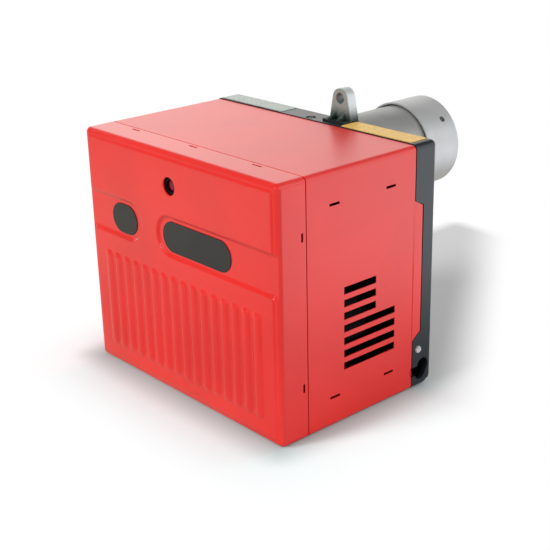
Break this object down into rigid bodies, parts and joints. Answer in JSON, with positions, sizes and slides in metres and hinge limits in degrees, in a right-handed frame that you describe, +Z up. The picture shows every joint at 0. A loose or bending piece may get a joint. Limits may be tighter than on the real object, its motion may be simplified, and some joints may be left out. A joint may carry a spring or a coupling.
{
  "type": "oil burner",
  "caption": "Boxed oil burner: a ribbed red sheet cover over a black cast fan housing, with a steel blast tube, lifting eye, fan, motor, pump, ignition and air damper.",
  "frame": {"origin": "where the blast tube's axis meets the flange face, the middle of the four fixing holes", "axes": "+Y along the blast tube into the boiler, +Z up, +X to the right seen from the cover's front"},
  "size_m": [0.3484, 0.3875, 0.338],
  "materials": {
    "cover_paint": "smooth glossy red enamel",
    "badge_plate": "bare dark plate",
    "housing_paint": "black enamel on an alloy casting",
    "cast_alloy": "bare casting",
    "silver_label": "bare foil plate",
    "yellow_label": "bare yellow foil plate",
    "screw_steel": "zinc-plated",
    "tube_steel": "satin heat-resistant steel",
    "nozzle_brass": "machined",
    "ceramic": "glazed ceramic",
    "electrode_wire": "heat-resistant wire",
    "cover_plate_alloy": "die-cast, as cast",
    "black_plastic": "moulded",
    "core_steel": "laminated core",
    "capacitor_plastic": "moulded can",
    "fan_steel": "galvanised sheet",
    "damper_alloy": "stamped plate on a steel pin",
    "pump_iron": "machined casting",
    "pipe_copper": "drawn copper pipe",
    "control_plastic": "moulded housing",
    "button_red": "translucent red cap",
    "lead_rubber": "silicone sleeve"
  },
  "bodies": {
    "housing": {"fan_housing": "housing_paint", "intake_box": "housing_paint", "lifting_eye": "cast_alloy", "nozzle_line": "cast_alloy", "electrode_clamp": "cast_alloy", "disc_carrier": "cast_alloy", "ram_cylinder": "cast_alloy", "silver_plate": "silver_label", "yellow_plate": "yellow_label", "housing_screws": "screw_steel", "ring_screws": "screw_steel", "chamber_screws": "screw_steel", "motor_screws": "screw_steel", "motor_bearings": "screw_steel", "capacitor_clip": "screw_steel", "component_plate": "screw_steel", "diffuser_disc": "screw_steel", "air_tube": "tube_steel", "blast_tube": "tube_steel", "nozzle": "nozzle_brass", "pump_plugs": "nozzle_brass", "electrode_insulators": "ceramic", "electrode_rods": "electrode_wire", "chamber_cover": "cover_plate_alloy", "motor_plate": "cover_plate_alloy", "motor_shell": "cover_plate_alloy", "flame_sensor": "black_plastic", "reset_bezel": "black_plastic", "control_base": "black_plastic", "solenoid_coil": "black_plastic", "ignition_transformer": "black_plastic", "stator": "core_steel", "capacitor": "capacitor_plastic", "pump_body": "pump_iron", "pump_cover": "pump_iron", "oil_pipe": "pipe_copper", "control_box": "control_plastic", "ignition_leads": "lead_rubber"},
    "cover": {"front_pan": "cover_paint", "wrapper": "cover_paint", "badge_large": "badge_plate", "badge_small": "badge_plate"},
    "rotor": {"rotor_core": "core_steel", "motor_shaft": "screw_steel", "fan_wheel": "fan_steel", "coupling": "black_plastic", "pump_shaft": "screw_steel"},
    "button": {"reset_button": "button_red"},
    "damper": {"damper_flap": "damper_alloy"},
    "ram": {"ram_piston": "screw_steel"}
  },
  "joints": [
    {"name": "cover_slide", "type": "slide", "parent": "housing", "child": "cover", "axis": [0, -1, 0], "range_m": [0, 0.245]},
    {"name": "rotor_spin", "type": "hinge", "parent": "housing", "child": "rotor", "pos_m": [0, -0.11, -0.1405], "axis": [1, 0, 0], "continuous": true},
    {"name": "reset_push", "type": "slide", "parent": "housing", "child": "button", "axis": [0, 1, 0], "range_m": [0, 0.003], "stiffness_N_per_m": 400, "springref_m": -0.001},
    {"name": "damper_turn", "type": "hinge", "parent": "housing", "child": "damper", "pos_m": [0.055, -0.188, -0.1405], "axis": [0, 0, 1], "range_deg": [0, 64]},
    {"name": "ram_stroke", "type": "slide", "parent": "housing", "child": "ram", "axis": [1, 0, 0], "range_m": [0, 0.01298], "stiffness_N_per_m": 60, "springref_m": -0.002}
  ],
  "couplings": [
    {"joint": "damper_turn", "follows": "ram_stroke", "rad_per_m": 80.645}
  ]
}
